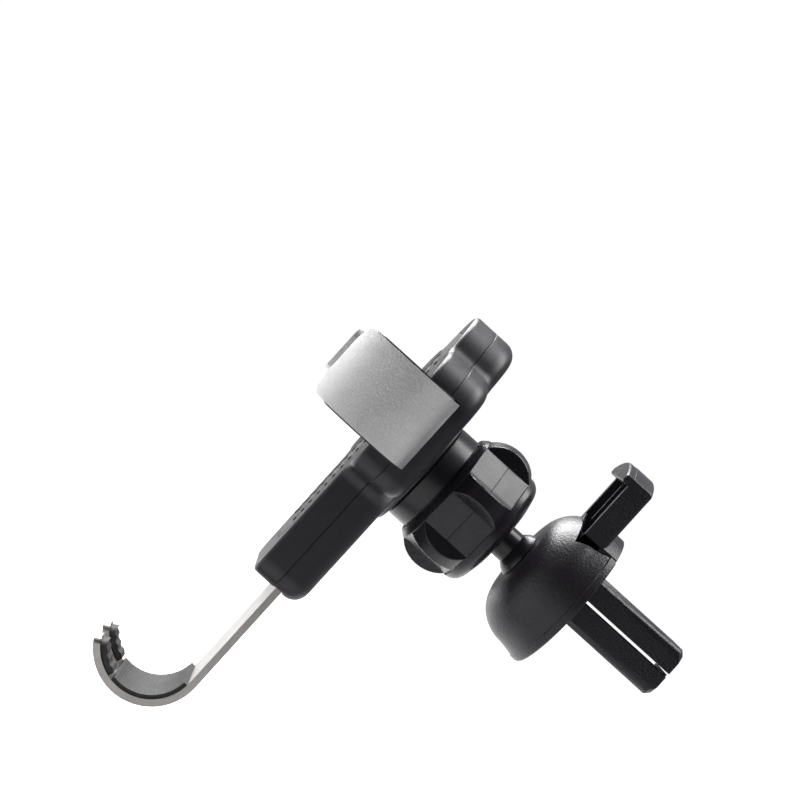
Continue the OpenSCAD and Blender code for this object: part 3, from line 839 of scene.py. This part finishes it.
class MOUNT_OT_ring(bpy.types.Operator):
    """Ring nut: flats between six half-moon wings"""
    bl_idname = "mount.ring"
    bl_label = "Locking ring"

    flat = 11.8
    collar = 12.45
    crest = 15.0
    first_wing = 15.0

    def body(self, bm):
        y0, y1 = RING_FRONT, RING_BACK
        floor0, floor1 = y0 + 1.35, y1 - 3.1
        collar = self.collar
        outer = [(11.3, y0), (11.55, y0 + 0.12), (collar - 0.12, floor0 - 0.3), (collar, floor0 - 0.12)]
        outer += [(collar, floor0 - 0.02), (self.flat, floor0 + 0.06)]
        mould = BALL_Y - 0.6
        outer += [(self.flat, mould - 0.1), (self.flat - 0.07, mould - 0.03), (self.flat - 0.07, mould + 0.03),
                  (self.flat, mould + 0.1)]
        outer += [(self.flat, floor1 - 0.06), (collar, floor1 + 0.02)]
        outer += [(collar - 2.6 * (1 - math.cos(math.radians(a))), floor1 + 0.1 + 2.6 * math.sin(math.radians(a)))
                  for a in range(10, 81, 10)]
        opening = 8.1
        inner = [(opening + 0.35, y1), (opening, y1 - 0.25), (7.4, BALL_Y + 5.4)]
        seat = cad("ball_cup", HIGH, X) + 0.05
        inner += [(seat * math.cos(math.radians(a)), BALL_Y + seat * math.sin(math.radians(a)))
                  for a in (34, 22, 10)]
        inner += [(10.35, BALL_Y + 0.4), (10.35, y0 + 0.5), (10.7, y0)]
        part = lathe(bm, outer + inner, 144, closed=True)
        for v in part["verts"]:
            p = v.co / MM
            radial = Vector((p.x, p.z - AXIS_Z))
            if radial.length > self.flat - 0.1 and floor0 + 0.04 < p.y < floor1 - 0.04:
                depth = self.flat - radial.length
                a = math.degrees(math.atan2(radial.y, radial.x))
                off = (a - self.first_wing) % 60 - 30
                reach = min(self.collar, self.flat / math.cos(math.radians(off)))
                radial = radial.normalized() * (reach - depth)
                v.co.x = radial.x * MM
                v.co.z = (radial.y + AXIS_Z) * MM

    def wing(self, bm, index):
        middle = BALL_Y - 0.75
        half_span = 5.45
        round_r = 6.45
        root = self.flat - 0.8
        swing = math.degrees(math.asin(half_span / round_r))
        points = [(middle + round_r * math.sin(math.radians(a)),
                   self.crest - round_r + round_r * math.cos(math.radians(a)))
                  for a in [swing * (k / 12 * 2 - 1) for k in range(13)]]
        points = [(points[0][0] - 0.25, root)] + points + [(points[-1][0] + 0.25, root)]
        half = 2.98
        part = prism(bm, points, lambda a, b: (-half, a, b), (2 * half, 0, 0))
        for v in part["verts"]:
            height = v.co.z / MM - root
            v.co.x *= 1 - 0.5 * height / (self.crest - root)
        crest = [e for e in sharp_edges(part, 40) if all(v.co.z / MM > self.flat - 0.4 for v in e.verts)]
        soften(bm, crest, sizes().wing_edge, 3)
        turn = Matrix.Rotation(math.radians(90 - self.first_wing - 60 * index), 4, "Y")
        bm.transform(Matrix.Translation((0, 0, AXIS_Z * MM)) @ turn)

    def execute(self, context):
        bm = bmesh.new()
        self.body(bm)
        for index in range(6):
            wing = bmesh.new()
            self.wing(wing, index)
            join(bm, wing)
        bmesh.ops.recalc_face_normals(bm, faces=bm.faces[:])
        finish_piece(bm, "ring_nut", "ring", ["locking_ring"], "ring_black", 30)
        return {"FINISHED"}


class MOUNT_OT_stud(bpy.types.Operator):
    """Ball with its stem and flared collar"""
    bl_idname = "mount.stud"
    bl_label = "Ball stud"

    def execute(self, context):
        bm = bmesh.new()
        stem = 3.35
        meet = math.degrees(math.asin(stem / BALL_R))
        profile = [(BALL_R * math.sin(math.radians(a)), BALL_Y - BALL_R * math.cos(math.radians(a)))
                   for a in [i * (180 - meet) / 28 for i in range(29)]]
        collar = DOME_FRONT - 2.3
        profile += [(stem, collar - 0.1), (stem + 0.25, collar + 0.15), (stem + 0.9, collar + 0.9),
                    (stem + 1.45, collar + 1.9), (stem + 1.45, DOME_FRONT - 0.12), (stem + 1.2, DOME_FRONT)]
        profile += [(0, DOME_FRONT)]
        lathe(bm, profile, 72)
        finish_piece(bm, "ball_and_stem", "clip", ["ball_stud"], "stud_black", 40)
        return {"FINISHED"}


# ---------------------------------------------------------------- vent clip

class MOUNT_OT_dome(bpy.types.Operator):
    """Domed housing of the clip, slotted for the lever"""
    bl_idname = "mount.dome"
    bl_label = "Clip housing"

    def execute(self, context):
        bm = bmesh.new()
        y0 = DOME_FRONT
        lip = RIM_BACK - 1.6
        outer = [(0, y0), (6.6, y0)]
        outer += [(7.2 + 7.6 * math.sin(math.radians(a)), y0 + 8.2 * (1 - math.cos(math.radians(a))))
                  for a in range(0, 91, 6)]
        outer += [(15.1, (y0 + 8.2 + lip) / 2), (RIM_R - 0.22, lip - 0.25), (RIM_R - 0.24, lip - 0.1),
                  (RIM_R - 0.1, lip), (RIM_R, lip + 0.12), (RIM_R, RIM_BACK - 0.5),
                  (RIM_R - 0.1, RIM_BACK - 0.2), (RIM_R - 0.35, RIM_BACK)]
        bore = RIM_R - 1.7
        inner = [(bore + 0.2, RIM_BACK), (bore, RIM_BACK - 0.2), (bore, RIM_BACK - 2)]
        inner += [(5.9 + 7.4 * math.sin(math.radians(a)), y0 + 1.7 + 7.6 * (1 - math.cos(math.radians(a))))
                  for a in range(90, -1, -10)]
        inner += [(0, y0 + 1.7)]
        lathe(bm, outer + inner, 128)
        housing = finish_piece(bm, "dome", "clip", ["clip_housing"], "clip_black")

        def notch(bm):
            half = LEVER_HALF + 0.45
            low = AXIS_Z + 8.4
            front = PIVOT_Y - 2.6
            profile = [(front - 0.35, low), (RIM_BACK + 2, low), (RIM_BACK + 2, low + 12),
                       (LEVER_LIP + 0.2, low + 12), (LEVER_LIP + 0.2, low + 6.5)]
            prism(bm, profile, lambda a, b: (-half, a, b), (2 * half, 0, 0))

        carve(housing, cutter_from(notch))
        return {"FINISHED"}


def jaw_prism(bm, low, high, outer_is_low, start):
    """A jaw's bar: bevelled long edges and a stepped tip."""
    half = JAW_HALF
    edge = sizes().jaw_edge
    if outer_is_low:
        corners = [(-half + edge, low), (half - edge, low), (half, low + edge), (half, high),
                   (-half, high), (-half, low + edge)]
    else:
        corners = [(-half, low), (half, low), (half, high - edge), (half - edge, high),
                   (-half + edge, high), (-half, high - edge)]
    part = prism(bm, corners, lambda a, b: (a, start, b), (0, JAW_BACK - start, 0))
    outer = low if outer_is_low else high
    tip = edges_where(part, lambda p: abs(p.y - JAW_BACK) < 0.01 and abs(p.z - outer) < edge + 0.1)
    soften(bm, tip, 1.0, 1)
    rest = [e for e in sharp_edges({"verts": bm.verts}, 25)
            if all(v.co.y / MM > start + 0.01 for v in e.verts)]
    soften(bm, rest, 0.16, 2)


class MOUNT_OT_fixed_jaw(bpy.types.Operator):
    """Disc that closes the dome, with the lower jaw"""
    bl_idname = "mount.fixed_jaw"
    bl_label = "Fixed jaw"

    def execute(self, context):
        bm = bmesh.new()
        front = cad("fixed_jaw", LOW, Y)
        r = RIM_R - 1.8
        lathe(bm, [(0, front), (r, front), (r, RIM_BACK - 0.2), (r - 0.2, RIM_BACK - 0.02), (0, RIM_BACK - 0.02)], 96)
        disc = finish_piece(bm, "jaw_disc", "clip", ["fixed_jaw"], "clip_black")

        def openings(bm):
            wide = LEVER_HALF + 0.6
            box_part(bm, -JAW_HALF - 0.4, JAW_HALF + 0.4, front - 1, RIM_BACK + 1, GRIP_Z, AXIS_Z + 20)
            box_part(bm, -wide, wide, front - 1, RIM_BACK + 1, AXIS_Z + 7.9, AXIS_Z + 21)
            for sign in (-1, 1):
                outline = arc(sign * 9.4, AXIS_Z - 6.2, 2.0, 0, 348, 29)
                prism(bm, outline, lambda a, b: (a, RIM_BACK - 1.3, b), (0, 3, 0))

        carve(disc, cutter_from(openings))
        bm = bmesh.new()
        jaw_prism(bm, GRIP_Z - 5.2, GRIP_Z, True, front + 0.4)
        bar = finish_piece(bm, "lower_jaw", "clip", ["fixed_jaw"], "clip_black")
        wide = JAW_HALF - 0.4
        carve(bar, box_cutter(-wide, wide, JAW_BACK - 0.95, JAW_BACK - 0.2, GRIP_Z - 0.3,
                              GRIP_Z + 0.5), "UNION")
        liner_bed(bar, GRIP_Z - 0.8, GRIP_Z + 1)
        return {"FINISHED"}


def liner_bed(bar, low, high):
    """The shallow bed of a rubber liner in a jaw's face."""
    front = cad("fixed_jaw_liner", LOW, Y)
    back = cad("fixed_jaw_liner", HIGH, Y)
    half = cad("fixed_jaw_liner", HIGH, X)
    play = 0.05
    carve(bar, box_cutter(-half - play, half + play, front - play, back + play, low, high))


class MOUNT_OT_moving_jaw(bpy.types.Operator):
    """Upper jaw and thumb lever, one crank"""
    bl_idname = "mount.moving_jaw"
    bl_label = "Moving jaw and lever"

    knuckle = 8.6

    def lever_outline(self, inset=0.0, floor=None, drop=0.0):
        """Front view of the lever with its crowned top."""
        half = LEVER_HALF - inset
        crown_r = 22.9 - inset - drop
        centre = LEVER_TOP - 22.9
        lean = math.degrees(math.asin(half / crown_r))
        top = [(crown_r * math.sin(math.radians(a)), centre + crown_r * math.cos(math.radians(a)))
               for a in [lean * (1 - i / 10) for i in range(21)]]
        return [(half, floor)] + top + [(-half, floor)]

    def lever(self, bm):
        front = PIVOT_Y - 2.6
        back = PIVOT_Y + 2.4
        floor = AXIS_Z + 9.35
        part = prism(bm, self.lever_outline(floor=floor), lambda a, b: (a, front, b), (0, back - front, 0))
        bm.faces.ensure_lookup_table()
        face = min(part["faces"], key=lambda f: f.calc_center_median().y)
        bmesh.ops.inset_region(bm, faces=[face], thickness=1.3 * MM, use_even_offset=True)
        made = bmesh.ops.extrude_face_region(bm, geom=[face])
        moved = [g for g in made["geom"] if isinstance(g, bmesh.types.BMVert)]
        bmesh.ops.delete(bm, geom=[face], context="FACES_ONLY")
        bmesh.ops.translate(bm, verts=moved, vec=(0, 3.6 * MM, 0))
        bmesh.ops.recalc_face_normals(bm, faces=bm.faces[:])
        back_rim = [e for e in rim_edges(bm, 50) if all(abs(v.co.y / MM - back) < 0.01 for v in e.verts)
                    and any(v.co.z / MM > floor + 1 for v in e.verts)]
        soften(bm, back_rim, 1.1, 5)
        soften(bm, [e for e in rim_edges(bm, 50) if all(v.co.z / MM > floor + 0.1 for v in e.verts)], 0.18, 2)

    def execute(self, context):
        front = PIVOT_Y - 2.6
        back = PIVOT_Y + 2.4
        bm = bmesh.new()
        self.lever(bm)
        lip = prism(bm, self.lever_outline(floor=LEVER_TOP - 3.9, inset=0.1), lambda a, b: (a, LEVER_LIP, b),
                    (0, front + 0.5 - LEVER_LIP, 0))
        soften(bm, [e for e in sharp_edges(lip, 50) if all(abs(v.co.y / MM - LEVER_LIP) < 0.01 for v in e.verts)],
               0.45, 3)
        for x in (-3.0, 3.0):
            rib = box_part(bm, x - 0.45, x + 0.45, front + 0.8, back - 0.8, AXIS_Z + 14.5, LEVER_TOP - 2.6)
            soften(bm, edges_where(rib, lambda p: p.y < front + 0.9), 0.15, 2)
        finish_piece(bm, "lever", "jaw", ["moving_jaw"], "clip_black")

        bm = bmesh.new()
        radius = RIM_R - 0.12
        side = LEVER_HALF
        foot = AXIS_Z + 8.8
        lean = math.degrees(math.asin(side / radius))
        cap = [(side, foot)] + [(radius * math.sin(math.radians(a)), AXIS_Z + radius * math.cos(math.radians(a)))
                                for a in [lean * (1 - i / 12) for i in range(25)]] + [(-side, foot)]
        part = prism(bm, cap, lambda a, b: (a, back - 0.5, b), (0, RIM_BACK - 0.1 - back + 0.5, 0))
        soften(bm, edges_where(part, lambda p: abs(p.y - RIM_BACK + 0.1) < 0.01), 0.3, 3)
        hub = finish_piece(bm, "jaw_hub", "jaw", ["moving_jaw"], "clip_black")
        knuckle = self.knuckle
        for block in ((-side, side, front, PIVOT_Y + 3.0, AXIS_Z + 9.3, AXIS_Z + 11.5),
                      (-knuckle, knuckle, front, PIVOT_Y + 2.6, AXIS_Z + 6.0, AXIS_Z + 11.4),
                      (-JAW_HALF, JAW_HALF, PIVOT_Y + 1.2, RIM_BACK - 0.1, AXIS_Z + 7.0, AXIS_Z + 10)):
            carve(hub, cutter_from(lambda bm: box_part(bm, *block)), "UNION")
        carve(hub, cutter_from(lambda bm: box_part(bm, -3.6, 3.6, front - 1, back + 0.3, AXIS_Z + 5, AXIS_Z + 13)))

        bm = bmesh.new()
        jaw_prism(bm, GRIP_TOP, GRIP_TOP + 5.2, False, cad("fixed_jaw", LOW, Y) - 5.2)
        bar = finish_piece(bm, "upper_jaw", "jaw", ["moving_jaw"], "clip_black")
        liner_bed(bar, GRIP_TOP - 1, GRIP_TOP + 0.8)
        return {"FINISHED"}


class MOUNT_OT_liners(bpy.types.Operator):
    """Thin rubber liners with cross ribs in the jaws' faces"""
    bl_idname = "mount.liners"
    bl_label = "Jaw liners"

    def liner(self, name, body, node, low, high, face_up):
        front = cad(node, LOW, Y)
        back = cad(node, HIGH, Y)
        half = cad(node, HIGH, X)
        teeth = 12
        pitch = (back - front) / teeth
        groove = 0.22
        face, sole, into = (high, low, -groove) if face_up else (low, high, groove)
        profile = [(front, sole)]
        for k in range(teeth):
            y = front + k * pitch
            profile += [(y + 0.05, face), (y + pitch * 0.6, face), (y + pitch * 0.75, face + into),
                        (y + pitch * 0.92, face + into)]
        profile += [(back, face), (back, sole)]
        bm = bmesh.new()
        prism(bm, profile, lambda a, b: (-half, a, b), (2 * half, 0, 0))
        finish_piece(bm, name, body, [node], "grip_rubber")

    def execute(self, context):
        for name, body, node, up in (("lower_liner", "clip", "fixed_jaw_liner", True),
                                     ("upper_liner", "jaw", "moving_jaw_liner", False)):
            self.liner(name, body, node, cad(node, LOW, Z), cad(node, HIGH, Z), up)
        return {"FINISHED"}


# ---------------------------------------------------------------- stage

class MOUNT_OT_stage(bpy.types.Operator):
    """Pale floor, soft studio light and the camera"""
    bl_idname = "mount.stage"
    bl_label = "Stage"

    roll = 42.2
    ambient = 0.45
    near_side = 0.07
    below = 0.3
    distance = 450.0
    wide = 153.3

    def up_way(self):
        """The view's upward direction in the mount's frame."""
        lean = math.radians(self.roll)
        return 0, -math.sin(lean), math.cos(lean)

    def floor(self):
        bm = bmesh.new()
        bmesh.ops.create_grid(bm, x_segments=2, y_segments=2, size=3.0)
        bmesh.ops.translate(bm, verts=bm.verts[:], vec=(0, 0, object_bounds()[0][2] - 0.004))
        mesh = bpy.data.meshes.new("floor")
        bm.to_mesh(mesh)
        bm.free()
        floor = bpy.data.objects.new("floor", mesh)
        bpy.context.scene.collection.objects.link(floor)
        material, nodes, links, shader, coords = new_material("floor_white")
        shader.inputs["Base Color"].default_value = (0.5, 0.5, 0.5, 1)
        shader.inputs["Roughness"].default_value = 0.9
        shader.inputs["Emission Color"].default_value = (1, 1, 1, 1)
        seen = nodes.new("ShaderNodeLightPath")
        glow = nodes.new("ShaderNodeMapRange")
        glow.inputs["To Min"].default_value = 0.12
        glow.inputs["To Max"].default_value = 1.0
        links.new(seen.outputs["Is Camera Ray"], glow.inputs["Value"])
        links.new(glow.outputs["Result"], shader.inputs["Emission Strength"])
        mesh.materials.append(material)
        floor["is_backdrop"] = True

    def light(self, name, place, aim, size, power):
        data = bpy.data.lights.new(name, "AREA")
        data.shape = "RECTANGLE"
        data.size, data.size_y = (s * MM for s in size)
        data.energy = power
        lamp = bpy.data.objects.new(name, data)
        lamp.location = Vector(place) * MM
        lamp.rotation_euler = (Vector(aim) - Vector(place)).to_track_quat("-Z", "Y").to_euler()
        bpy.context.scene.collection.objects.link(lamp)

    def execute(self, context):
        scene = bpy.context.scene
        self.floor()
        scene.view_settings.view_transform = "Standard"
        world = bpy.data.worlds.new("studio")
        world.use_nodes = True
        nodes, links = world.node_tree.nodes, world.node_tree.links
        background = nodes["Background"]
        background.inputs["Color"].default_value = (1, 1, 1, 1)
        sky = nodes.new("ShaderNodeTexCoord")
        glow = None
        for aim, from_low, from_high, low, high in (((1, 0, 0), 0.2, 0.85, 1.0, self.near_side),
                                                    (self.up_way(), -0.9, 0.9, self.below, 1.0)):
            facing = nodes.new("ShaderNodeVectorMath")
            facing.operation = "DOT_PRODUCT"
            facing.inputs[1].default_value = aim
            links.new(sky.outputs["Generated"], facing.inputs[0])
            side = spread(nodes, links, facing.outputs["Value"], low, high, from_low, from_high)
            if glow:
                both = nodes.new("ShaderNodeMath")
                both.operation = "MULTIPLY"
                links.new(glow, both.inputs[0])
                links.new(side, both.inputs[1])
                side = both.outputs["Value"]
            glow = side
        dimmed = nodes.new("ShaderNodeMath")
        dimmed.operation = "MULTIPLY"
        dimmed.inputs[1].default_value = self.ambient
        links.new(glow, dimmed.inputs[0])
        seen = nodes.new("ShaderNodeLightPath")
        strength = nodes.new("ShaderNodeMapRange")
        strength.inputs["To Max"].default_value = 1.02
        links.new(dimmed.outputs["Value"], strength.inputs["To Min"])
        links.new(seen.outputs["Is Camera Ray"], strength.inputs["Value"])
        links.new(strength.outputs["Result"], background.inputs["Strength"])
        scene.world = world
        centre = (0, CASE_FRONT + 30, AXIS_Z)
        up = Vector(self.up_way())
        right = Vector((0, up.z, -up.y))
        overhead = Vector(centre) + up * 380 + Vector((-240, 0, 0))
        self.light("overhead", overhead, centre, (300, 420), 7.0)
        back = Vector(centre) + up * 180 + right * 330 + Vector((-40, 0, 0))
        self.light("rim", back, centre, (200, 300), 1.8)
        fill = Vector(centre) + Vector((430, 0, 0)) - right * 260 + up * 120
        self.light("fill", fill, centre, (260, 260), 0.015)
        self.camera()
        return {"FINISHED"}

    def camera(self):
        scene = bpy.context.scene
        data = bpy.data.cameras.new("camera")
        camera = bpy.data.objects.new("camera", data)
        scene.collection.objects.link(camera)
        target = Vector((0, CASE_FRONT - 0.1, AXIS_Z + 6.7))
        eye = Vector((self.distance, CASE_FRONT - 21.7, AXIS_Z + 12.8))
        look = (target - eye).normalized()
        level = Vector((0, 0, 1))
        side = look.cross(level).normalized()
        above = side.cross(look)
        basis = Matrix((side, above, -look)).transposed()
        roll = Matrix.Rotation(math.radians(self.roll), 3, "Z")
        camera.matrix_world = Matrix.Translation(eye * MM) @ (basis @ roll).to_4x4()
        data.sensor_width = 36
        data.lens = 36 * (target - eye).length / self.wide
        data.clip_start = 0.01
        data.clip_end = 20
        data.dof.use_dof = False
        scene.camera = camera


# ---------------------------------------------------------------- panel and run

PIECES = (MOUNT_OT_shells, MOUNT_OT_back_pad, MOUNT_OT_arms, MOUNT_OT_foot, MOUNT_OT_neck, MOUNT_OT_ring,
          MOUNT_OT_stud, MOUNT_OT_dome, MOUNT_OT_fixed_jaw, MOUNT_OT_moving_jaw, MOUNT_OT_liners,
          MOUNT_OT_stage)


class MOUNT_PT_panel(bpy.types.Panel):
    """Lists the mount's pieces"""
    bl_label = "Phone mount"
    bl_idname = "MOUNT_PT_panel"
    bl_space_type = "VIEW_3D"
    bl_region_type = "UI"
    bl_category = "Phone mount"

    def draw(self, context):
        for group in (context.scene.mount_looks, context.scene.mount_sizes):
            for name in group.__annotations__:
                self.layout.prop(group, name)
        for piece in PIECES:
            self.layout.operator(piece.bl_idname)


CLASSES = (MountLooks, MountSizes, *PIECES, MOUNT_PT_panel)


def register():
    for cls in CLASSES:
        bpy.utils.register_class(cls)
    bpy.types.Scene.mount_looks = bpy.props.PointerProperty(type=MountLooks)
    bpy.types.Scene.mount_sizes = bpy.props.PointerProperty(type=MountSizes)


def unregister():
    del bpy.types.Scene.mount_sizes
    del bpy.types.Scene.mount_looks
    for cls in reversed(CLASSES):
        bpy.utils.unregister_class(cls)


def main():
    register()
    make_finishes(bpy.context.scene.mount_looks)
    for piece in PIECES:
        group, action = piece.bl_idname.split(".")
        getattr(getattr(bpy.ops, group), action)()


if __name__ == "__main__":
    main()
